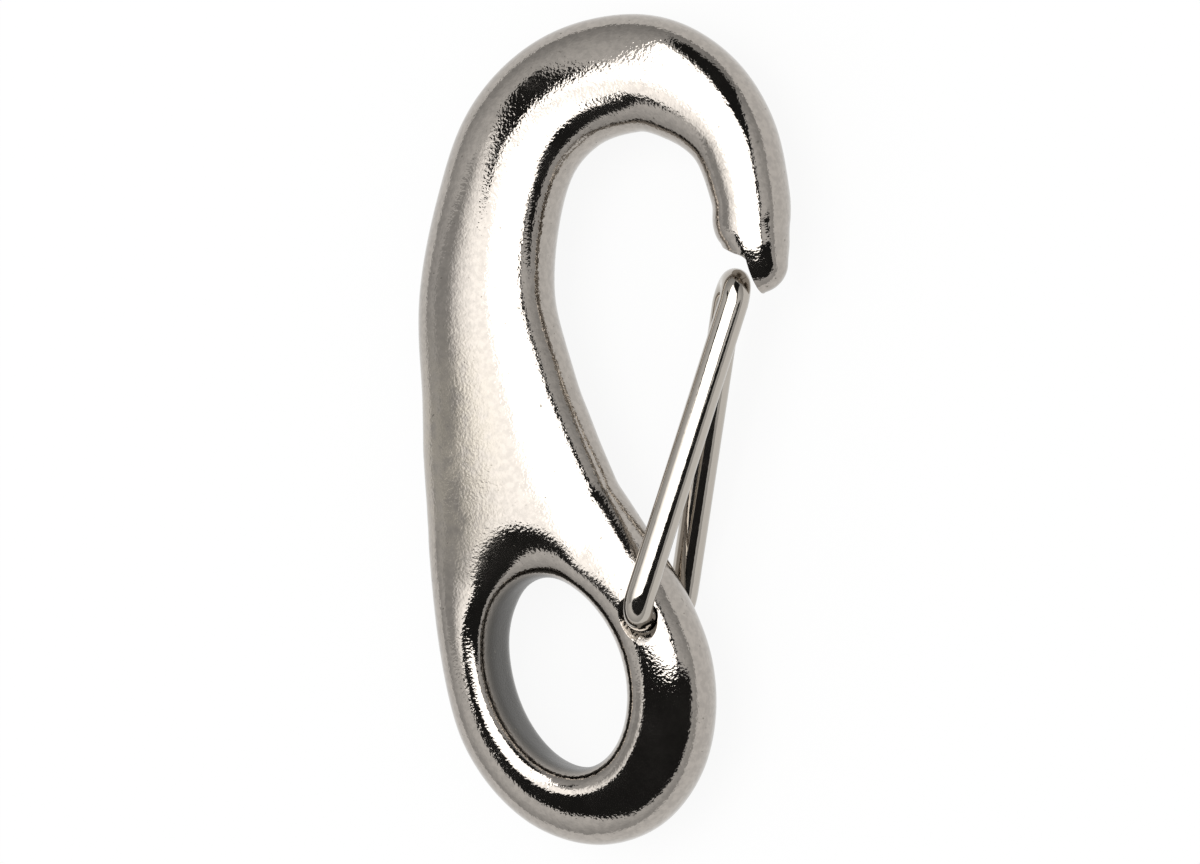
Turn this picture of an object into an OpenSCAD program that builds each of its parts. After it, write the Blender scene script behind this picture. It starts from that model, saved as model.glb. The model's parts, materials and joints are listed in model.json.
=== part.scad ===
// Jib snap hook: a one-piece cast hook with an eye, closed by a sprung hairpin of wire.
// It lies flat: X runs across it towards the nose, Y along it towards the bow, and Z up.
// The origin is under the middle of the whole part, on the surface that the lower gate foot touches.
// All sizes are in millimetres.

/* [Hook] */
// Overall length, from the heel of the eye to the top of the bow
body_l = 70; // [63:1:84]
// Overall width, from the back of the spine to the outside of the nose
body_w = 33.2; // [31:0.1:40]
// Radius of the bow, along the middle of the bar
bow_r = 11.4; // [10:0.1:12.5]
// How far the bow's back shoulder is drawn in from a true arc
shoulder = 0.5; // [0:0.1:1]
// Width of the bar at the top of the bow
crown_w = 9.9; // [8:0.1:12]
// Width of the bar where the bow runs into the spine
spine_w = 10.8; // [9:0.1:13]
// Width of the bar at the root of the nose
nose_w = 6.5; // [5:0.1:7.8]
// Thickness of the spine, which is the thickest place
spine_t = 8.4; // [7.2:0.1:10]
// Thickness at the tip of the nose
nose_t = 5.6; // [4.7:0.1:6.7]

/* [Nose] */
// How far the latch notch lies below the centre of the bow
notch_drop = 4.4; // [3.5:0.1:5.3]
// Length of the tongue, from the notch to the tip of the nose
tongue_l = 2.7; // [2.2:0.1:3.3]
// Width of the tongue at the notch
tongue_w = 2.8; // [2.3:0.1:3.4]
// Taper of the tongue towards its tip, in degrees
tongue_taper = 13; // [8:1:18]
// Slope of the notch's upper face, in degrees
notch_slope = 20; // [10:1:30]
// Length of the rounding at the tip of the nose
nose_round = 2.5; // [1.8:0.1:3]

/* [Eye] */
// Clear width of the eye
eye_w = 11.3; // [9:0.1:13]
// Clear length of the eye
eye_l = 16.6; // [13:0.1:19.5]
// Lean of the eye away from the hook's length
eye_lean = 21; // [14:1:25]
// Width of the rim round the eye, on average
rim_w = 6.05; // [5.5:0.1:7.8]
// How far the eye sits towards the spine from the middle of its rim
rim_shift = 1.3; // [0.8:0.1:1.6]
// Thickness of the rim
rim_t = 7.6; // [6.4:0.1:9]
// Width of the sloping arch above the eye
arch_reach = 5.6; // [4:0.1:7]
// How far the back of the rim is set in from the back of the spine
rim_inset = 2.5; // [2:0.1:3]

/* [Gate] */
// Diameter of the gate's wire
wire_d = 2.5; // [2.1:0.1:3]
// Radial clearance of the gate's bent ends in the cross hole
pin_clear = 0.1; // [0.05:0.01:0.1]
// Gap left between the two bent ends inside the body
pin_apart = 1.2; // [0.6:0.1:2]
// How far the cross hole lies above the eye's waist
pin_rise = 1.6; // [1:0.1:2.2]
// How far the cross hole lies outside the middle of the rim's front wall
pin_shift = 0.2; // [0:0.1:0.6]
// Gap between each leg of the gate and the face of the rim
leg_gap = 0.25; // [0.2:0.01:0.4]
// Distance between the two legs, centre to centre, where they meet the bight
bight_w = 3; // [2.8:0.1:3.6]
// How far the upper leg lies nearer the nose than the lower one at the bight
bight_skew = 1.7; // [0:0.1:2]
// Gap between the closed gate and the tongue
latch_gap = 0.15; // [0.1:0.01:0.3]
// Gap between the tip of the closed gate and the notch above it
tip_gap = 0.8; // [0.5:0.1:1.2]
// Depth of the countersink at each mouth of the cross hole
sink = 0.4; // [0.2:0.1:0.6]

/* [Hidden] */

STEEL = "silver";
WIRE = "gainsboro";
SPAN_STEPS = 5;         // sections between two stations of the bar
BAR_SIDES = 24;         // points round one section of the bar
HALF = BAR_SIDES / 2;
FULLNESS = 2.2;         // 2 is an ellipse, more is squarer
WIRE_SIDES = 16;        // points round one section of the wire
BIGHT_STEPS = 10;       // sections round the bight
FOOT_STEPS = 5;         // sections round each foot bend
TIP_FALL = 25;          // how steeply the nose already thins where its round tip begins
CREST_LEAN = [1, 1.5];  // how far the crest of the rim leans to the eye, on the gate's side and the spine's
PIN_FN = 48;            // smoothness of the cross hole and the pins
PIN_LAP = 0.3;          // how far the bent wire runs straight down, the lower half of it inside its pin
PIN_SHY = 0.9;          // width of the bent wire where it runs into the pin, as a share of the pin's
PAST = 1;               // how far a cutter runs past what it cuts

// Centre of the bow, and the places along the nose below it
bow = [body_w / 2 - nose_w / 2 - bow_r, body_l / 2 - crown_w / 2 - bow_r];
notch_y = bow.y - notch_drop;
tip_y = notch_y - tongue_l;
nose_x = body_w / 2 - nose_w / 2;

// The lobe is the leaning oval that carries the eye
lobe_w = eye_w + 2 * rim_w;
lobe_l = eye_l + 2 * rim_w;
lobe = [rim_inset - body_w / 2 + norm([lobe_w * cos(eye_lean), lobe_l * sin(eye_lean)]) / 2,
        norm([lobe_l * cos(eye_lean), lobe_w * sin(eye_lean)]) / 2 - body_l / 2];
eye = lobe + rim_shift * [-cos(eye_lean / 2), sin(eye_lean)];

// Cross hole, in the middle of the rim's front wall
pin_r = wire_d / 2;
hole_r = pin_r + pin_clear;
front_wall = rim_w + rim_shift;
pin = eye + turn([eye_w / 2 + front_wall / 2 + pin_shift, pin_rise], eye_lean);
leg_z = rim_t / 2 + leg_gap + pin_r;
foot_r = 1.04 * pin_r;  // radius of the foot bends, along the middle of the wire

// Corner of the notch, at the top of the tongue's inner face, and the way that the gate leans to it
latch = [body_w / 2 - tongue_w, notch_y];
gate_lean = atan2(latch.x - pin.x, latch.y - pin.y);

// The bight lies against that face, under the notch
bight_c = [latch.x - latch_gap - pin_r - bight_skew / 2,
           notch_y - tip_gap - pin_r - norm([bight_skew, bight_w]) / 2 * cos(gate_lean)];
leg_tops = [for (s = [1, -1]) [bight_c.x + s * bight_skew / 2, bight_c.y, s * bight_w / 2]];

// Stations along the middle of the bar, from the nose to the eye: [x, y, width, thickness, fullness]
arc_angles = [5, 31, 56, 82, 114, 146, 180];
arc_widths = [nose_w, 0.75 * crown_w, 0.91 * crown_w, crown_w, 0.5 * (crown_w + spine_w),
              0.98 * spine_w, spine_w];
function arc_radius(a) = bow_r - shoulder * max(0, -sin(2 * a));
function arc_thickness(a) = nose_t + 1 + (spine_t - nose_t - 1) * (a / 180);

nose_stations = [
    [nose_x + 0.6, tip_y + 0.9 * nose_round, 0.8 * nose_w, 0.84 * nose_t, FULLNESS],
    [nose_x + 0.4, tip_y + 3.7, 0.89 * nose_w, nose_t, FULLNESS],
    [nose_x + 0.1, tip_y + 5.4, 0.98 * nose_w, nose_t + 0.6, FULLNESS]
];
bow_stations = [for (i = [0 : len(arc_angles) - 1])
    let (a = arc_angles[i], r = arc_radius(a))
    [bow.x + r * cos(a), bow.y + r * sin(a), arc_widths[i], arc_thickness(a), FULLNESS]];

// Down the spine the bar widens until it is as wide as the lobe. Each row: how far down to the eye,
// how far in from the back, then width, thickness and fullness against those of the spine.
spine_rows = [[0.20, 0.1, 1.11, 1, 0], [0.40, 0.3, 1.285, 1, 0], [0.53, 0.3, 1.475, 1, 0.1],
              [0.64, 0.4, 1.65, 0.99, 0.1]];
spine_stations = [for (s = spine_rows)
    let (w = s[2] * spine_w)
    [s[1] + w / 2 - body_w / 2, bow.y + s[0] * (eye.y - bow.y), w, s[3] * spine_t, FULLNESS + s[4]]];
stations = concat(nose_stations, bow_stations, spine_stations);

// ---- curves and sections ----

function turn(p, a) = [p.x * cos(a) - p.y * sin(a), p.x * sin(a) + p.y * cos(a)];
function power(v, e) = sign(v) * pow(abs(v), e);
function unit(v) = v / norm(v);
function flat_point(p) = [p.x, p.y];
function flat(lists) = [for (l = lists, p = l) p];

// A smooth curve through all the points, with steps points to a span
function curve(pts, steps) =
    let (n = len(pts), ends = concat([2 * pts[0] - pts[1]], pts, [2 * pts[n - 1] - pts[n - 2]]))
    concat([for (i = [1 : n - 1], k = [0 : steps - 1])
        let (t = k / steps, a = ends[i - 1], b = ends[i], c = ends[i + 1], d = ends[i + 2])
        0.5 * (2 * b + (c - a) * t + (2 * a - 5 * b + 4 * c - d) * t * t
               + (3 * b - a - 3 * c + d) * t * t * t)], [pts[n - 1]]);

// Faces of a skin of points laid out in rows, each row joined to the next and, if round, closed on itself
function skin(rows, cols, first = 0, round = true, loop = false, flip = false) =
    [for (i = [0 : rows - (loop ? 1 : 2)], k = [0 : cols - (round ? 1 : 2)])
        let (j = (i + 1) % rows, m = (k + 1) % cols,
             face = [i * cols + k, i * cols + m, j * cols + m, j * cols + k])
        [for (c = flip ? [3, 2, 1, 0] : [0, 1, 2, 3]) first + face[c]]];

// ---- hook body ----

// Which way a line runs at its point i
function way(line, i) =
    let (a = line[max(i - 1, 0)], b = line[min(i + 1, len(line) - 1)]) unit([b.x - a.x, b.y - a.y]);

// One rounded section of the bar, where half reaches from its middle to its edge
function bar_section(middle, half, t, fullness) = [for (k = [0 : BAR_SIDES - 1])
    let (a = 360 * k / BAR_SIDES, e = 2 / fullness, p = middle + half * power(cos(a), e))
    [p.x, p.y, t / 2 * power(sin(a), e)]];

// The bar is closed by a round tip at the nose
bar_line = curve(stations, SPAN_STEPS);
tip_angles = [84, 66, 48, 32, 16];
bar_sections = concat(
    [for (a = tip_angles)
        let (s = bar_line[0], w = way(bar_line, 0))
        bar_section([s.x, s.y] - w * nose_round * sin(a), [w.y, -w.x] * s[2] / 2 * cos(a),
                    s[3] * cos(TIP_FALL + a * (1 - TIP_FALL / 90)) / cos(TIP_FALL), s[4])],
    [for (i = [0 : len(bar_line) - 1])
        let (s = bar_line[i], w = way(bar_line, i))
        bar_section([s.x, s.y], [w.y, -w.x] * s[2] / 2, s[3], s[4])]);

// The last section of the bar runs over the eye, and the rim hangs from it like a loop from a yoke
yoke = bar_sections[len(bar_sections) - 1];
yoke_w = norm(flat_point(yoke[HALF]) - flat_point(yoke[0]));
yoke_t = 2 * yoke[HALF / 2].z;
function lobe_point(a) = lobe + turn([lobe_w / 2 * cos(a), lobe_l / 2 * sin(a)], eye_lean);
before = bar_sections[len(bar_sections) - 1 - SPAN_STEPS];
edge_line = curve(concat([flat_point(before[HALF]), flat_point(yoke[HALF])],
                         [for (a = [10 : -29 : -193]) lobe_point(a)],
                         [flat_point(yoke[0]), flat_point(before[0])]), SPAN_STEPS);
rim_edge = [for (i = [SPAN_STEPS : len(edge_line) - 1 - SPAN_STEPS]) edge_line[i]];
rim_targets = concat([for (k = [0 : HALF]) yoke[k]],
                     [for (i = [1 : len(rim_edge) - 2]) [rim_edge[i].x, rim_edge[i].y, 0]]);

// The point of the eye that faces p
function eye_point(p) =
    let (q = turn(p - eye, -eye_lean), u = unit([q.x / eye_w, q.y / eye_l]))
    eye + turn([eye_w / 2 * u.x, eye_l / 2 * u.y], eye_lean);

// A rib from the edge of the eye over the crest of the rim to its target, on the upper side. The crest
// leans to the eye. Under the middle of the bar, where over is 1, it is an arch as high as the bar.
function rim_rib(target, over) =
    let (from = eye_point(flat_point(target)), to = flat_point(target), e = 2 / FULLNESS,
         width = norm(to - from), outward = (to - from) / width,
         lean = CREST_LEAN[0] + (CREST_LEAN[1] - CREST_LEAN[0]) * (1 - outward.x) / 2,
         crest = rim_t / 2 + over * (yoke_t - rim_t) / 2,
         rim_crest = pow(0.5, lean) * min(width, rim_w),
         crest_at = rim_crest + over * (min(arch_reach, 0.9 * width) - rim_crest),
         falls = target.z < crest,
         last = falls ? 180 - asin(pow(target.z / crest, 1 / e)) : 90,
         reach = pow(1 - power(cos(last), e), lean) - 1)
    concat([for (k = [0 : HALF - 1])
        let (t = 2 * k / HALF,
             a = t < 1 ? 90 * t : 90 + (last - 90) * (t - 1),
             share = pow(1 - power(cos(a), e), lean),
             beyond = t <= 1 ? 0 : falls ? (share - 1) / reach : t - 1,
             p = from + outward * (crest_at * min(1, share) + (width - crest_at) * beyond))
        [p.x, p.y, crest * pow(sin(a), e)
            + max(0, target.z - crest) * beyond * beyond * (3 - 2 * beyond)]], [target]);

rim_ribs = [for (t = rim_targets)
    rim_rib(t, t.z > 0 ? pow(sin(180 * norm(flat_point(t) - flat_point(yoke[0])) / yoke_w), 2) : 0)];

// Bar, lobe and rim as one closed skin
module casting() {
    bar_rows = len(bar_sections);
    rim_rows = len(rim_ribs);
    upper = bar_rows * BAR_SIDES;
    lower = upper + rim_rows * (HALF + 1);
    below = [for (p = flat(rim_ribs)) [p.x, p.y, 0 - p.z]];
    polyhedron(
        concat(flat(bar_sections), flat(rim_ribs), below),
        concat(skin(bar_rows, BAR_SIDES),
               [[for (k = [BAR_SIDES - 1 : -1 : 0]) k]],
               skin(rim_rows, HALF + 1, upper, round = false, loop = true),
               skin(rim_rows, HALF + 1, lower, round = false, loop = true, flip = true)),
        convexity = 8);
}

// Notch across the inside of the nose, where the gate's bight shuts
module latch_notch() {
    side = nose_w;
    drop = 2 * tongue_l;
    translate([latch.x, latch.y, -spine_t]) linear_extrude(2 * spine_t)
        polygon([[0, 0], [-side, side * tan(notch_slope)], [-side, -drop],
                 [drop * tan(tongue_taper), -drop]]);
}

module cross_hole() {
    translate([pin.x, pin.y, 0]) {
        cylinder(h = 2 * spine_t, r = hole_r, center = true, $fn = PIN_FN);
        for (side = [0, 180]) rotate([side, 0, 0]) translate([0, 0, rim_t / 2 - sink])
            cylinder(h = sink + PAST, r1 = hole_r, r2 = hole_r + sink + PAST, $fn = PIN_FN);
    }
}

module hook_body() {
    color(STEEL) translate([0, 0, half_h]) difference() {
        casting();
        latch_notch();
        cross_hole();
    }
}

// ---- wire gate ----

// One round section of the wire at p, square to the direction dir
function wire_ring(p, dir, side, r) =
    let (u = unit(cross(dir, side)), v = cross(u, unit(dir)))
    [for (k = [0 : WIRE_SIDES - 1]) let (a = 360 * k / WIRE_SIDES) p + r * (u * cos(a) + v * sin(a))];

// The middle of the wire, from the upper foot through the bight to the lower foot
function foot(s) = [pin.x, pin.y, s * leg_z];
leg_dirs = [for (i = [0, 1]) unit(leg_tops[i] - foot(1 - 2 * i))];
function foot_bend(i) = let (s = 1 - 2 * i)
    [for (k = [0 : FOOT_STEPS]) let (t = k / FOOT_STEPS)
        foot(s) - [0, 0, s] * foot_r * pow(1 - t, 2) + leg_dirs[i] * foot_r * pow(t, 2)];
function bight() =
    let (middle = (leg_tops[0] + leg_tops[1]) / 2, half = (leg_tops[0] - leg_tops[1]) / 2,
         rise = unit(leg_dirs[0] + leg_dirs[1]) * norm(half))
    [for (k = [0 : BIGHT_STEPS]) let (a = 180 * k / BIGHT_STEPS) middle + half * cos(a) + rise * sin(a)];
// The bent wire starts a little way down its pin
function pin_end(s, lap) = [pin.x, pin.y, s * (leg_z - foot_r - lap)];

lower_bend = foot_bend(1);
wire_line = concat([pin_end(1, PIN_LAP)], foot_bend(0), bight(),
                   [for (k = [FOOT_STEPS : -1 : 0]) lower_bend[k]], [pin_end(-1, PIN_LAP)]);
wire_side = unit(cross(leg_dirs[0] + leg_dirs[1], leg_tops[0] - leg_tops[1]));
wire_rings = [for (i = [0 : len(wire_line) - 1])
    let (in_pin = i < 2 || i > len(wire_line) - 3,
         dir = in_pin ? [0, 0, 1] : wire_line[i + 1] - wire_line[i - 1])
    wire_ring(wire_line[i], dir, wire_side, in_pin ? PIN_SHY * pin_r : pin_r)];

// From the middle of the part down to the surface that the lower foot touches
half_h = max([for (p = flat(wire_rings)) abs(p.z)]);

module wire_gate() {
    n = len(wire_rings);
    ends = [[for (k = [WIRE_SIDES - 1 : -1 : 0]) k],
            [for (k = [0 : WIRE_SIDES - 1]) (n - 1) * WIRE_SIDES + k]];
    pin_l = leg_z - foot_r - PIN_LAP / 2 - pin_apart / 2;
    color(WIRE) translate([0, 0, half_h]) {
        polyhedron(flat(wire_rings), concat(skin(n, WIRE_SIDES), ends), convexity = 6);
        for (s = [1, -1]) translate([pin.x, pin.y, s * (pin_apart / 2 + pin_l / 2)])
            cylinder(h = pin_l, r = pin_r, center = true, $fn = PIN_FN);
    }
}

hook_body();
wire_gate();
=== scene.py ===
import json
import math

import bmesh
import bpy
import numpy as np
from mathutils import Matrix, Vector


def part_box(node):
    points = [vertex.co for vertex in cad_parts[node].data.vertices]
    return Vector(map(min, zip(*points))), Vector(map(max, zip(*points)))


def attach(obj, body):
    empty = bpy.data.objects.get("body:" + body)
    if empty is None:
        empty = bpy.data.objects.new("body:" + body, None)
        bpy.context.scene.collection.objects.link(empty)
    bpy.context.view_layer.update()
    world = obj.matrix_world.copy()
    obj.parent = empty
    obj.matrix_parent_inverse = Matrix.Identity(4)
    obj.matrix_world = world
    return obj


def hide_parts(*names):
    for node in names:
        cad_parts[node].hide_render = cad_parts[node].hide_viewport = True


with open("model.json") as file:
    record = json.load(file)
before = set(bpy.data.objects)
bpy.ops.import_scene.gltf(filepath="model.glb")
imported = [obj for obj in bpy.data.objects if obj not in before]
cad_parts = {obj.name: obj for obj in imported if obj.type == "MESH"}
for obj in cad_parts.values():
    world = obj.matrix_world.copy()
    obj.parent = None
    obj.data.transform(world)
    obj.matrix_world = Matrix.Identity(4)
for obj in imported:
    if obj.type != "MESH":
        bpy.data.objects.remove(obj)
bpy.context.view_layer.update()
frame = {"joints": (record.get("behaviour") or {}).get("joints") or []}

# ---- Hook body ----
# One stainless casting: a round bar that runs from the nose over the bow and down the spine, and
# widens into a rim round a leaning eye. It is mirror polished over a fine cast grain, and its cross
# hole is drilled and lightly countersunk.
body_w = 0.0332         # over all, from the back of the spine to the outside of the nose
body_l = 0.0700         # over all, from the heel of the eye to the top of the bow
bow_r = 0.0114          # along the middle of the bar
shoulder = 0.0005       # how far the bow's back shoulder is drawn in from a true arc
crown_w = 0.0099        # widths of the bar: at the top of the bow, where it joins the spine, at the nose
spine_w = 0.0108
nose_w = 0.0065
spine_t = 0.0084        # thicknesses of the bar: in the spine, and at the tip of the nose
nose_t = 0.0056
notch_drop = 0.0044     # from the centre of the bow down to the latch notch
tongue_l = 0.0027
tongue_w = 0.0028
tongue_taper = math.radians(13)
notch_slope = math.radians(20)
nose_round = 0.0025     # length of the rounding at the tip
tip_fall = math.radians(25)     # how steeply the thickness starts to fall at the tip
eye_w = 0.0113
eye_l = 0.0166
eye_lean = math.radians(21)
rim_w = 0.00605         # on average; the eye sits off centre by rim_shift
rim_shift = 0.0013
rim_t = 0.0076
rim_inset = 0.0025      # the back of the rim lies this far inside the back of the spine
crest_lean = (1.0, 1.5)     # how far the crest leans to the eye, on the gate's side and on the spine's
arch_reach = 0.0056     # how far from the eye the bar above it has its full height
fullness = 2.2          # exponent of the bar's oval section: 2 is an ellipse, and more is fuller
bar_sides = 24
half_sides = bar_sides // 2
span_steps = 5          # sections between two stations

body_low, body_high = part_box("hook_body")
mid_z = (body_low.z + body_high.z) / 2
pivot = next(j for j in frame["joints"] if j["name"] == "gate_pivot")
pin_x, pin_y = pivot["pos_m"][:2]


def unit(v):
    return np.asarray(v, float) / np.linalg.norm(v)


def turn(p, angle):
    c, s = math.cos(angle), math.sin(angle)
    return np.array([p[0] * c - p[1] * s, p[0] * s + p[1] * c])


def power(value, exponent):
    return math.copysign(abs(value) ** exponent, value)


def along(points, u):
    """The point at u on the smooth curve through points, where a whole u is a point of the list."""
    points = np.asarray(points, float)
    ends = np.vstack([2 * points[0] - points[1], points, 2 * points[-1] - points[-2]])
    i = min(int(u), len(points) - 2)
    a, b, c, d = ends[i:i + 4]
    t = u - i
    bend = (2 * a - 5 * b + 4 * c - d) * t**2 + (3 * b - a - 3 * c + d) * t**3
    return 0.5 * (2 * b + (c - a) * t + bend)


bow = np.array([body_w / 2 - nose_w / 2 - bow_r, body_l / 2 - crown_w / 2 - bow_r])
notch_y = bow[1] - notch_drop
tip_y = notch_y - tongue_l
nose_x = body_w / 2 - nose_w / 2
face_x = body_w / 2 - tongue_w
lobe_w = eye_w + 2 * rim_w
lobe_l = eye_l + 2 * rim_w
lean_c, lean_s = math.cos(eye_lean), math.sin(eye_lean)
lobe = np.array([rim_inset - body_w / 2 + math.hypot(lobe_w * lean_c, lobe_l * lean_s) / 2,
                 math.hypot(lobe_l * lean_c, lobe_w * lean_s) / 2 - body_l / 2])
eye = lobe + rim_shift * np.array([-math.cos(eye_lean / 2), math.sin(eye_lean)])

# Stations along the bar, each with its place, width, thickness and fullness
stations = [
    [nose_x + 0.0006, tip_y + 0.9 * nose_round, 0.80 * nose_w, 0.84 * nose_t, fullness],
    [nose_x + 0.0004, tip_y + 0.0037, 0.89 * nose_w, nose_t, fullness],
    [nose_x + 0.0001, tip_y + 0.0054, 0.98 * nose_w, nose_t + 0.0006, fullness],
]
arc_widths = [(5, nose_w), (31, 0.75 * crown_w), (56, 0.91 * crown_w), (82, crown_w),
              (114, (crown_w + spine_w) / 2), (146, 0.98 * spine_w), (180, spine_w)]
for degrees, width in arc_widths:
    angle = math.radians(degrees)
    reach = bow_r - shoulder * max(0, -math.sin(2 * angle))
    thickness = nose_t + 0.001 + (spine_t - nose_t - 0.001) * degrees / 180
    stations.append([bow[0] + reach * math.cos(angle), bow[1] + reach * math.sin(angle),
                     width, thickness, fullness])
# Down the spine: how far down to the eye, how far in from the back, then width and thickness against
# those of the spine, and extra fullness
spine_rows = [(0.20, 0.0001, 1.11, 1.00, 0.0), (0.40, 0.0003, 1.285, 1.00, 0.0),
              (0.53, 0.0003, 1.475, 1.00, 0.1), (0.64, 0.0004, 1.65, 0.99, 0.1)]
for down, inset, wide, thick, fuller in spine_rows:
    width = wide * spine_w
    stations.append([inset + width / 2 - body_w / 2, bow[1] + down * (eye[1] - bow[1]),
                     width, thick * spine_t, fullness + fuller])


def bar_section(u, cap=0.0):
    """One rounded section of the bar at u, or of the round tip where cap is above 0."""
    s = along(stations, u)
    step = 0.1
    ahead, behind = min(u + step, len(stations) - 1), max(u - step, 0)
    w = unit(along(stations, ahead)[:2] - along(stations, behind)[:2])
    middle = s[:2] - w * nose_round * math.sin(cap)
    half = np.array([w[1], -w[0]]) * s[2] / 2 * math.cos(cap)
    fall = math.cos(tip_fall + cap * (1 - 2 * tip_fall / math.pi)) / math.cos(tip_fall) if cap else 1
    thick = s[3] * fall
    points = []
    for k in range(bar_sides):
        a = 2 * math.pi * k / bar_sides
        x, y = middle + half * power(math.cos(a), 2 / s[4])
        points.append([x, y, thick / 2 * power(math.sin(a), 2 / s[4])])
    return np.array(points)


def notched(section, depth):
    """A section cut back to the tongue: depth is how far the cut stops inside the tongue's face."""
    out = section.copy()
    for p in out:
        face = face_x + (notch_y - p[1]) * math.tan(tongue_taper) if depth == 0 else face_x - depth
        p[0] = max(p[0], face)
        if p[0] < face_x:
            roof = notch_y + (face_x - p[0]) * math.tan(notch_slope)
            p[1] = roof if depth else p[1]
    return out


# From the tip: the rounding, the tongue, the floor of the notch, and then the whole bar
rows = []
for degrees in [84, 66, 48, 32, 16]:
    rows.append(notched(bar_section(0, math.radians(degrees)), 0))
for u in [0, 0.15, 0.25]:
    rows.append(notched(bar_section(u), 0))
notch_end = 0.49
for u, depth in [(0.33, 0.0003), (0.37, 0.0010), (0.41, 0.0018), (0.45, 0.0026), (notch_end, 0.0031)]:
    rows.append(notched(bar_section(u), depth))
slope_span = 1.9    # stations over which the slope of the notch dies away
whole_u = np.arange(2 * span_steps, (len(stations) - 1) * span_steps + 1) / span_steps
for u in np.concatenate([[0.56, 0.7, 0.85, 1.0, 1.25, 1.5, 1.75], whole_u]):
    section = bar_section(u)
    fade = max(0.0, 1 - (u - notch_end) / slope_span)
    for p in section:
        p[1] += max(0.0, face_x - p[0]) * math.tan(notch_slope) * fade
    rows.append(section)
yoke = rows[-1]


def lobe_point(degrees):
    a = math.radians(degrees)
    return lobe + turn([lobe_w / 2 * math.cos(a), lobe_l / 2 * math.sin(a)], eye_lean)


def eye_point(p):
    q = turn(p - eye, -eye_lean)
    u = unit([q[0] / eye_w, q[1] / eye_l])
    return eye + turn([eye_w / 2 * u[0], eye_l / 2 * u[1]], eye_lean)


def rim_rib(target, over):
    """From the eye's edge over the crest of the rim to target; over is 1 in the middle of the bar."""
    start, end, e = eye_point(target[:2]), target[:2], 2 / fullness
    width = np.linalg.norm(end - start)
    outward = (end - start) / width
    lean = crest_lean[0] + (crest_lean[1] - crest_lean[0]) * (1 - outward[0]) / 2
    crest = rim_t / 2 + over * (yoke[:, 2].max() - rim_t / 2)
    crest_at = 0.5**lean * min(width, rim_w)
    crest_at += over * (min(arch_reach, 0.9 * width) - crest_at)
    falls = target[2] < crest
    last = math.pi - math.asin((target[2] / crest)**(1 / e)) if falls else math.pi / 2
    reach = (1 - power(math.cos(last), e))**lean - 1
    rib = []
    for k in range(half_sides):
        t = 2 * k / half_sides
        a = math.pi / 2 * t if t < 1 else math.pi / 2 + (last - math.pi / 2) * (t - 1)
        share = (1 - power(math.cos(a), e))**lean
        beyond = 0.0
        if t > 1:
            beyond = (share - 1) / reach if falls else t - 1
        x, y = start + outward * (crest_at * min(1, share) + (width - crest_at) * beyond)
        rise = max(0, target[2] - crest) * beyond * beyond * (3 - 2 * beyond)
        rib.append([x, y, crest * math.sin(a)**e + rise])
    return rib + [list(target)]


# The outline of the rim sets off from the two edges of the bar in the bar's own direction
before = rows[-1 - span_steps]
edge_points = [before[half_sides][:2], yoke[half_sides][:2]]
edge_points += [lobe_point(degrees) for degrees in range(10, -194, -29)]
edge_points += [yoke[0][:2], before[0][:2]]
edge_steps = (len(edge_points) - 3) * span_steps
rim_edge = [along(edge_points, 1 + i / span_steps) for i in range(edge_steps + 1)]
targets = [yoke[k] for k in range(half_sides + 1)] + [np.array([x, y, 0]) for x, y in rim_edge[1:-1]]
yoke_span = np.linalg.norm(yoke[half_sides][:2] - yoke[0][:2])
yoke_shares = [np.linalg.norm(t[:2] - yoke[0][:2]) / yoke_span for t in targets]
overs = [math.sin(math.pi * share)**2 if t[2] > 0 else 0 for t, share in zip(targets, yoke_shares)]
ribs = np.array([rim_rib(t, over) for t, over in zip(targets, overs)])


def add_skin(mesh, grid, round_rows, flip):
    """Adds the quads of a grid: each round row closes on itself, else the last row joins the first."""
    verts = [[mesh.verts.new(p) for p in row] for row in grid]
    rows_n, cols_n = len(verts), len(verts[0])
    for i in range(rows_n - 1 if round_rows else rows_n):
        for k in range(cols_n if round_rows else cols_n - 1):
            j, m = (i + 1) % rows_n, (k + 1) % cols_n
            quad = [verts[i][k], verts[i][m], verts[j][m], verts[j][k]]
            mesh.faces.new(quad[::-1] if flip else quad)
    return verts


body_mesh = bmesh.new()
bar_verts = add_skin(body_mesh, rows, True, False)
body_mesh.faces.new(bar_verts[0][::-1])
add_skin(body_mesh, ribs, False, False)
add_skin(body_mesh, ribs * [1, 1, -1], False, True)
bmesh.ops.remove_doubles(body_mesh, verts=body_mesh.verts, dist=1e-6)
bmesh.ops.recalc_face_normals(body_mesh, faces=body_mesh.faces)

# Subdivision draws a surface in from its cage, so the cage is first moved out by as much; fit then
# takes the rounded skin back inside the size of the construction
fit = 0.9995
moved = {}
for v in body_mesh.verts:
    n = len(v.link_edges)
    near = sum((edge.other_vert(v).co for edge in v.link_edges), Vector())
    limit = v.co
    if all(len(face.verts) == 4 for face in v.link_faces):
        across = Vector()
        for face in v.link_faces:
            ring = list(face.verts)
            across += ring[(ring.index(v) + 2) % 4].co
        limit = (n * n * v.co + 4 * near + across) / (n * (n + 5))
    moved[v] = 2 * v.co - limit
for v, co in moved.items():
    v.co = co
for v in body_mesh.verts:
    v.co *= fit
    v.co.z += mid_z
data = bpy.data.meshes.new("cast_hook")
body_mesh.to_mesh(data)
body_mesh.free()
cast_hook = bpy.data.objects.new("cast_hook", data)
bpy.context.scene.collection.objects.link(cast_hook)
smooth = cast_hook.modifiers.new("smooth", "SUBSURF")
smooth.levels = smooth.render_levels = 2

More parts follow.
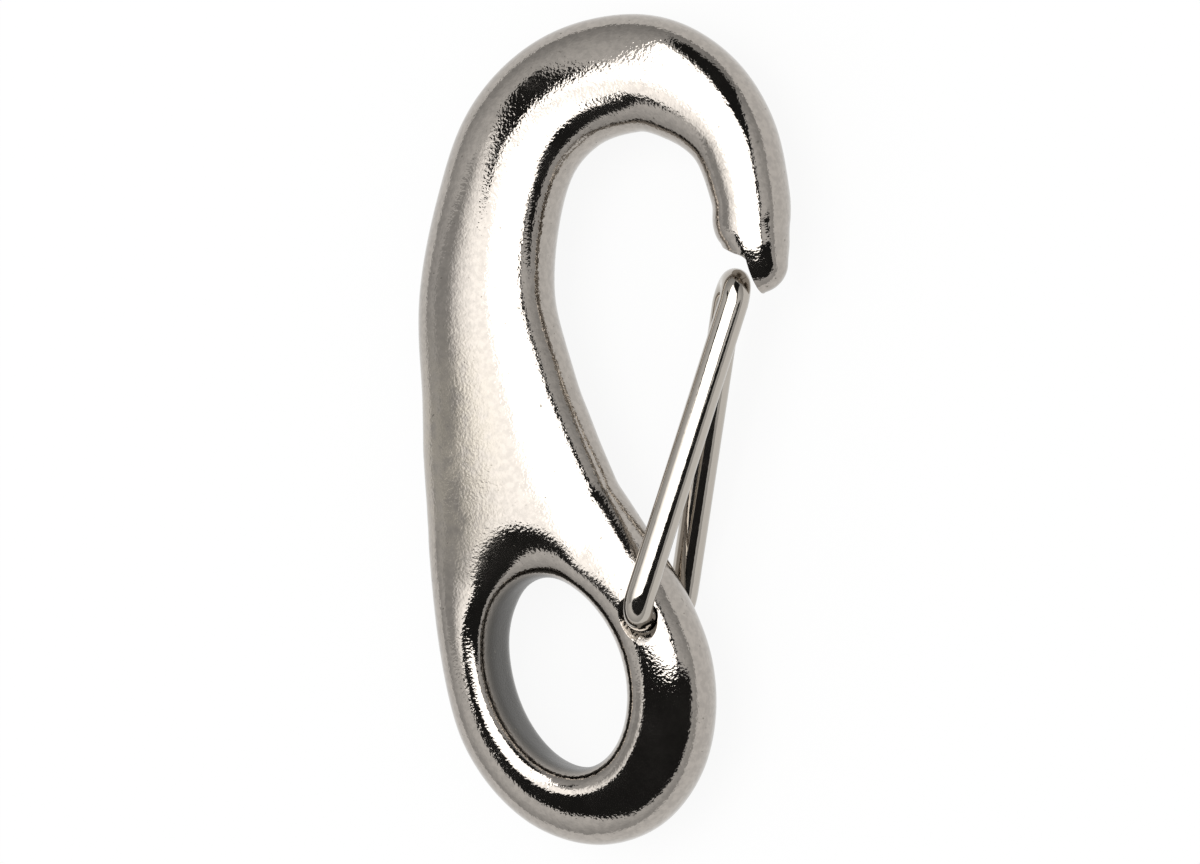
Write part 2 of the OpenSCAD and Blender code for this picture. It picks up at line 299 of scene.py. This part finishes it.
# The rim is fettled into the bar, so the skin is eased on both sides of the line where they meet
blend_reach = 0.0065
yoke_line = unit(yoke[half_sides][:2] - yoke[0][:2])
yoke_across = np.array([-yoke_line[1], yoke_line[0]])
near_yoke = cast_hook.vertex_groups.new(name="near_yoke")
for v in data.vertices:
    away = abs(float(np.dot(np.array(v.co[:2]) - yoke[0][:2], yoke_across))) / blend_reach
    near_yoke.add([v.index], max(0.0, 1 - away * away), "REPLACE")
ease = cast_hook.modifiers.new("ease", "SMOOTH")
ease.vertex_group = "near_yoke"
ease.factor = 0.5
ease.iterations = 90
for face in data.polygons:
    face.use_smooth = True

# The cross hole, with a small countersink at each mouth
hole_r = 0.00135
hole_sides = 64
sharp_angle = math.radians(32)
sink_depth = 0.00045
sink_slope = 1.8
sink_r = hole_r + (rim_t / 2 + sink_depth) * sink_slope
hole_mesh = bmesh.new()
hole_rings = []
for z, r in [(-rim_t, sink_r), (-rim_t / 2 + sink_depth, hole_r),
             (rim_t / 2 - sink_depth, hole_r), (rim_t, sink_r)]:
    turns = [2 * math.pi * k / hole_sides for k in range(hole_sides)]
    hole_rings.append([[pin_x + r * math.cos(a), pin_y + r * math.sin(a), mid_z + z] for a in turns])
hole_verts = add_skin(hole_mesh, hole_rings, True, False)
hole_mesh.faces.new(hole_verts[0])
hole_mesh.faces.new(hole_verts[-1])
bmesh.ops.recalc_face_normals(hole_mesh, faces=hole_mesh.faces)
hole_data = bpy.data.meshes.new("cross_hole_cutter")
hole_mesh.to_mesh(hole_data)
hole_mesh.free()
hole_cutter = bpy.data.objects.new("cross_hole_cutter", hole_data)
bpy.context.scene.collection.objects.link(hole_cutter)
drill = cast_hook.modifiers.new("drill", "BOOLEAN")
drill.operation = "DIFFERENCE"
drill.solver = "EXACT"
drill.object = hole_cutter
bpy.context.view_layer.update()
shaped_hook = cast_hook.evaluated_get(bpy.context.evaluated_depsgraph_get())
finished = bpy.data.meshes.new_from_object(shaped_hook)
cast_hook.modifiers.clear()
cast_hook.data = finished
bpy.data.objects.remove(hole_cutter)
finished.set_sharp_from_angle(angle=sharp_angle)


def link(material, start, end):
    material.node_tree.links.new(start, end)


def add_node(material, kind, **settings):
    node = material.node_tree.nodes.new(kind)
    for name, value in settings.items():
        if name in node.inputs:
            node.inputs[name].default_value = value
        else:
            setattr(node, name, value)
    return node


def noise(material, size, detail=2.0, offset=0.0):
    """Noise in the part's own metres, with grains of about the given size."""
    place = add_node(material, "ShaderNodeTexCoord").outputs["Object"]
    shifted = add_node(material, "ShaderNodeVectorMath", operation="ADD")
    shifted.inputs[1].default_value = (offset, offset, offset)
    link(material, place, shifted.inputs[0])
    texture = add_node(material, "ShaderNodeTexNoise", Scale=1 / size, Detail=detail)
    link(material, shifted.outputs[0], texture.inputs["Vector"])
    return texture.outputs["Fac"]


def ranged(material, value, from_low, from_high, to_low, to_high):
    node = add_node(material, "ShaderNodeMapRange", interpolation_type="SMOOTHSTEP")
    limits = {"From Min": from_low, "From Max": from_high, "To Min": to_low, "To Max": to_high}
    for name, number in limits.items():
        node.inputs[name].default_value = number
    link(material, value, node.inputs["Value"])
    return node.outputs["Result"]


def bumped(material, height, depth, below=None):
    node = add_node(material, "ShaderNodeBump", Strength=1.0, Distance=depth)
    link(material, height, node.inputs["Height"])
    if below is not None:
        link(material, below, node.inputs["Normal"])
    return node.outputs["Normal"]


cast_steel = bpy.data.materials.new("cast_stainless")
cast_steel.use_nodes = True
shader = cast_steel.node_tree.nodes["Principled BSDF"]
shader.inputs["Metallic"].default_value = 1.0


def nearness(material, centre, half_x, half_y, lean, inner, outer):
    """1 inside an oval column round centre, and 0 beyond outer times its size."""
    place = add_node(material, "ShaderNodeTexCoord").outputs["Object"]
    oval = add_node(material, "ShaderNodeMapping", vector_type="TEXTURE")
    oval.inputs["Location"].default_value = (centre[0], centre[1], 0)
    oval.inputs["Rotation"].default_value = (0, 0, lean)
    oval.inputs["Scale"].default_value = (half_x, half_y, 1)
    link(material, place, oval.inputs["Vector"])
    flat = add_node(material, "ShaderNodeVectorMath", operation="MULTIPLY")
    flat.inputs[1].default_value = (1, 1, 0)
    link(material, oval.outputs[0], flat.inputs[0])
    size = add_node(material, "ShaderNodeVectorMath", operation="LENGTH")
    link(material, flat.outputs[0], size.inputs[0])
    return ranged(material, size.outputs["Value"], inner, outer, 1, 0)


def combined(material, operation, a, b):
    node = add_node(material, "ShaderNodeMath", operation=operation)
    for socket, value in zip(node.inputs, (a, b)):
        if isinstance(value, (int, float)):
            socket.default_value = value
        else:
            link(material, value, socket)
    return node.outputs[0]


def tinted(material, share, start, end):
    """A colour that goes from start to end with share; start may be a socket."""
    node = add_node(material, "ShaderNodeMix", data_type="RGBA")
    first, second, mixed_colour = node.inputs[6], node.inputs[7], node.outputs[2]
    link(material, share, node.inputs["Factor"])
    second.default_value = end
    if isinstance(start, tuple):
        first.default_value = start
    else:
        link(material, start, first)
    return mixed_colour


# Polished by hand: bright on the crowns, satin low on the spine, dull in the eye with painted shade on
# its wall, with fine pits left from casting
satin_at = (-0.0120, -0.0020)
satin_size = (0.0050, 0.0120)
satin_tilt = 0.05
cloud = ranged(cast_steel, noise(cast_steel, 0.006, 3), 0.35, 0.7, 0.04, 0.12)
satin_patch = nearness(cast_steel, satin_at, *satin_size, satin_tilt, 0.3, 1.2)
streaks = ranged(cast_steel, noise(cast_steel, 0.0012, 3, 0.7), 0.3, 0.6, 0.3, 1.0)
satin_mix = combined(cast_steel, "MULTIPLY", satin_patch, streaks)
# The eye's wall is rougher casting skin and also carries painted shade: its colour is taken near black
eye_wall_dull_and_shade = nearness(cast_steel, eye, eye_w / 2, eye_l / 2, eye_lean, 1.0, 1.08)
pits = ranged(cast_steel, noise(cast_steel, 0.0005, 2, 0.9), 0.70, 0.78, 0, 1)
rough = cloud
for area, rougher in [(satin_mix, 0.16), (eye_wall_dull_and_shade, 0.22), (pits, 0.2)]:
    rough = combined(cast_steel, "ADD", rough, combined(cast_steel, "MULTIPLY", area, rougher))
link(cast_steel, rough, shader.inputs["Roughness"])
mottle = ranged(cast_steel, noise(cast_steel, 0.0005, 3, 0.2), 0.35, 0.65, 0, 1)
base = tinted(cast_steel, mottle, (0.37, 0.341, 0.310, 1), (0.43, 0.395, 0.358, 1))
base = tinted(cast_steel, satin_mix, base, (0.45, 0.41, 0.352, 1))
# Painted shade: the eye's wall is coloured near black, standing in for the shadowed paper it would
# reflect
base = tinted(cast_steel, eye_wall_dull_and_shade, base, (0.055, 0.052, 0.047, 1))
base = tinted(cast_steel, pits, base, (0.16, 0.146, 0.125, 1))
link(cast_steel, base, shader.inputs["Base Color"])
grain_depth = 0.000016
wave_depth = 0.00002
satin_grit = 0.9    # how much deeper the grain is where the finish is satin
grit = combined(cast_steel, "MULTIPLY_ADD", satin_mix, satin_grit)
grit.node.inputs[2].default_value = 1.0
grains = combined(cast_steel, "MULTIPLY", noise(cast_steel, 0.00024, 1.0), grit)
grain = bumped(cast_steel, grains, grain_depth)
wave = bumped(cast_steel, noise(cast_steel, 0.0022, 1.0, 0.3), wave_depth, grain)
link(cast_steel, wave, shader.inputs["Normal"])
finished.materials.clear()
finished.materials.append(cast_steel)
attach(cast_hook, "hook")
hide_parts("hook_body")

# ---- Wire gate ----
# One length of drawn stainless spring wire, bent double into a hairpin. Its two ends turn in at right
# angles and stand in the cross hole, and its bight rests against the inner face of the tongue.
wire_r = 0.00125
leg_gap = 0.000345      # from the legs' line to the face of the rim, before the feet round over
pin_apart = 0.0012      # between the two bent ends, inside the rim
foot_r = 1.8 * wire_r
bight_w = 0.0030
bight_skew = 0.0017
latch_gap = 0.00015     # from the bight to the inner face of the tongue
tip_gap = 0.0008        # from the bight to the floor of the notch
wire_sides = 32
foot_steps, pin_steps, leg_steps, bight_steps = 13, 6, 14, 21
leg_z = rim_t / 2 + leg_gap + wire_r
gate_lean = math.atan2(face_x - pin_x, notch_y - pin_y)
bight_x = face_x - latch_gap - wire_r - bight_skew / 2
bight_y = notch_y - tip_gap - wire_r - math.hypot(bight_skew, bight_w) / 2 * math.cos(gate_lean)
feet = [np.array([pin_x, pin_y, s * leg_z]) for s in (1, -1)]
tops = [np.array([bight_x + s * bight_skew / 2, bight_y, s * bight_w / 2]) for s in (1, -1)]
legs = [unit(top - foot) for top, foot in zip(tops, feet)]
across = (tops[0] - tops[1]) / 2
rise = unit(legs[0] + legs[1]) * np.linalg.norm(across)
wire_side = unit(np.cross(legs[0] + legs[1], across))


def half_wire(i):
    """The middle of the wire from the end of one pin up to the bight."""
    s = 1 - 2 * i
    up = np.array([0, 0, s])
    shares = np.linspace(0, 1, foot_steps)
    bend = [feet[i] - up * foot_r * (1 - t)**2 + legs[i] * foot_r * t**2 for t in shares]
    heights = np.linspace(pin_apart / 2, leg_z - foot_r, pin_steps)[:-1]
    pin = [np.array([pin_x, pin_y, s * z]) for z in heights]
    leg = [bend[-1] + (tops[i] - bend[-1]) * t for t in np.linspace(0, 1, leg_steps)[1:]]
    return pin + bend + leg


bight = [(tops[0] + tops[1]) / 2 + across * math.cos(a) + rise * math.sin(a)
         for a in np.linspace(0, math.pi, bight_steps)[1:-1]]
wire_line = half_wire(0) + bight + half_wire(1)[::-1]
gate_mesh = bmesh.new()
rings = []
for i, p in enumerate(wire_line):
    way = unit(wire_line[min(i + 1, len(wire_line) - 1)] - wire_line[max(i - 1, 0)])
    u = unit(np.cross(way, wire_side))
    v = np.cross(u, way)
    turns = [2 * math.pi * k / wire_sides for k in range(wire_sides)]
    rings.append([p + wire_r * (u * math.cos(a) + v * math.sin(a)) for a in turns])
wire_verts = add_skin(gate_mesh, rings, True, False)
gate_mesh.faces.new(wire_verts[0])
gate_mesh.faces.new(wire_verts[-1])
bmesh.ops.recalc_face_normals(gate_mesh, faces=gate_mesh.faces)
for v in gate_mesh.verts:
    v.co.z += mid_z
gate_data = bpy.data.meshes.new("spring_gate")
gate_mesh.to_mesh(gate_data)
gate_mesh.free()
spring_gate = bpy.data.objects.new("spring_gate", gate_data)
bpy.context.scene.collection.objects.link(spring_gate)
for face in gate_data.polygons:
    face.use_smooth = True
drawn_wire = bpy.data.materials.new("spring_wire")
drawn_wire.use_nodes = True
shader = drawn_wire.node_tree.nodes["Principled BSDF"]
shader.inputs["Metallic"].default_value = 1.0
shader.inputs["Base Color"].default_value = (0.46, 0.425, 0.380, 1)
rough = ranged(drawn_wire, noise(drawn_wire, 0.002, 3), 0.35, 0.7, 0.04, 0.12)
link(drawn_wire, rough, shader.inputs["Roughness"])
link(drawn_wire, bumped(drawn_wire, noise(drawn_wire, 0.0006, 1.0), 0.00001), shader.inputs["Normal"])
gate_data.materials.append(drawn_wire)
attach(spring_gate, "gate")
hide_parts("wire_gate")

# ---- Camera ----
# It looks down on the hook from a little to the nose's side, through a long lens
view_tilt = math.radians(22)
view_distance = 0.430
aim = Vector((-0.00012, -0.00020, mid_z + 0.00011))
camera_data = bpy.data.cameras.new("camera")
camera_data.lens = 153.2
camera = bpy.data.objects.new("camera", camera_data)
camera.location = aim + view_distance * Vector((math.sin(view_tilt), 0, math.cos(view_tilt)))
camera.rotation_euler = (0, view_tilt, 0)
bpy.context.scene.collection.objects.link(camera)
bpy.context.scene.camera = camera

# ---- Floor and studio light ----
# White paper lies under the hook. White and black cards hang over it, which only the bright metal shows,
# and a broad lamp and a pale room light the rest.
floor_size = 3.0
floor_glow = 0.9    # how much of the paper's look is its own even white; the rest takes the shadow
floor_data = bpy.data.meshes.new("floor")
floor_corners = [(x * floor_size, y * floor_size, 0) for x, y in [(-1, -1), (1, -1), (1, 1), (-1, 1)]]
floor_data.from_pydata(floor_corners, [], [(0, 1, 2, 3)])
floor = bpy.data.objects.new("floor", floor_data)
bpy.context.scene.collection.objects.link(floor)
paper = bpy.data.materials.new("paper")
paper.use_nodes = True
nodes = paper.node_tree.nodes
nodes.clear()
seen = add_node(paper, "ShaderNodeLightPath")
either = add_node(paper, "ShaderNodeMath", operation="ADD")
link(paper, seen.outputs["Is Camera Ray"], either.inputs[0])
link(paper, seen.outputs["Is Glossy Ray"], either.inputs[1])
any_of = add_node(paper, "ShaderNodeMath", operation="ADD", use_clamp=True)
link(paper, either.outputs[0], any_of.inputs[0])
link(paper, seen.outputs["Is Transmission Ray"], any_of.inputs[1])
share = add_node(paper, "ShaderNodeMath", operation="MULTIPLY")
share.inputs[1].default_value = floor_glow
link(paper, any_of.outputs[0], share.inputs[0])
matt = add_node(paper, "ShaderNodeBsdfDiffuse", Color=(0.92, 0.92, 0.92, 1))
white = add_node(paper, "ShaderNodeEmission", Strength=1.0)
mixed = add_node(paper, "ShaderNodeMixShader")
link(paper, share.outputs[0], mixed.inputs[0])
link(paper, matt.outputs[0], mixed.inputs[1])
link(paper, white.outputs[0], mixed.inputs[2])
surface = add_node(paper, "ShaderNodeOutputMaterial")
link(paper, mixed.outputs[0], surface.inputs["Surface"])
floor_data.materials.append(paper)


def card(name, corners, height, strength):
    """A flat card over the part that glows evenly; returns its material and the glow's strength."""
    data = bpy.data.meshes.new(name)
    data.from_pydata([(x, y, height) for x, y in corners], [], [range(len(corners))])
    board = bpy.data.objects.new(name, data)
    bpy.context.scene.collection.objects.link(board)
    glow = bpy.data.materials.new(name)
    glow.use_nodes = True
    glow.node_tree.nodes.clear()
    emission = add_node(glow, "ShaderNodeEmission", Strength=strength)
    out = add_node(glow, "ShaderNodeOutputMaterial")
    link(glow, emission.outputs[0], out.inputs["Surface"])
    data.materials.append(glow)
    board.visible_camera = False
    board.visible_diffuse = False
    board.visible_shadow = False
    return glow, emission.inputs["Strength"]


card_height = 0.070
card_step = 0.0005      # the cards hang one over another
black = 0.02
soft_white = 3.6
card("black_card",
     [(-0.036, -0.022), (-0.030, -0.017), (0.062, -0.006), (0.200, 0.008), (0.190, -0.080),
      (0.110, -0.130), (0.020, -0.130), (-0.015, -0.090), (-0.038, -0.045)], card_height, black)
card("black_right",
     [(0.057, -0.006), (0.054, 0.050), (0.042, 0.060), (0.032, 0.072), (0.020, 0.092), (0.010, 0.125),
      (0.020, 0.230), (0.190, 0.230), (0.110, 0.120), (0.078, 0.060), (0.070, -0.006)],
     card_height - card_step, black)
card("black_left", [(-0.028, 0.022), (-0.062, 0.060), (-0.054, 0.072), (-0.018, 0.038)],
     card_height - 1.4 * card_step, black)
card("soft_box",
     [(-0.014, 0.022), (-0.014, -0.017), (0.030, -0.017), (0.062, -0.006), (0.058, 0.045), (0.044, 0.056),
      (0.030, 0.068), (0.016, 0.084), (0, 0.112), (-0.015, 0.050), (-0.026, 0.028)],
     card_height - 2 * card_step, soft_white)
# The cards on the left hang higher; the white one is dimmed towards its far end
high_cards = 0.140
card("black_back",
     [(-0.095, -0.033), (0.010, -0.033), (0.010, -0.130), (-0.060, -0.130), (-0.090, -0.080)],
     high_cards, black)
glow, glow_strength = card(
    "left_glow",
    [(-0.330, -0.060), (-0.095, -0.033), (0.010, -0.033), (0.010, 0.060), (-0.060, 0.060),
     (-0.330, 0.060)], high_cards + 2 * card_step, 1.0)
parts = add_node(glow, "ShaderNodeSeparateXYZ")
link(glow, add_node(glow, "ShaderNodeTexCoord").outputs["Object"], parts.inputs[0])
link(glow, ranged(glow, parts.outputs["X"], -0.150, -0.045, 0.50, 2.4), glow_strength)

# A broad lamp overhead lights the floor and casts the soft shadow; the metal shows the cards instead
lamp_data = bpy.data.lights.new("overhead_lamp", "AREA")
lamp_data.size = 0.5
lamp_data.energy = 2.2
overhead_lamp = bpy.data.objects.new("overhead_lamp", lamp_data)
overhead_lamp.location = (-0.10, 0.10, 0.80)
overhead_lamp.visible_glossy = False
bpy.context.scene.collection.objects.link(overhead_lamp)

# The room is pale overhead and darker towards the horizon
world = bpy.data.worlds.new("studio")
bpy.context.scene.world = world
world.use_nodes = True
toward = add_node(world, "ShaderNodeTexCoord")
parts = add_node(world, "ShaderNodeSeparateXYZ")
link(world, toward.outputs["Generated"], parts.inputs[0])
overhead = ranged(world, parts.outputs["Z"], 0.0, 0.8, 0.55, 0.95)
upward = ranged(world, parts.outputs["Y"], 0.0, 0.9, 1.0, 0.72)
level = combined(world, "MULTIPLY", overhead, upward)
link(world, level, world.node_tree.nodes["Background"].inputs["Color"])
bpy.context.scene.view_settings.view_transform = "Standard"
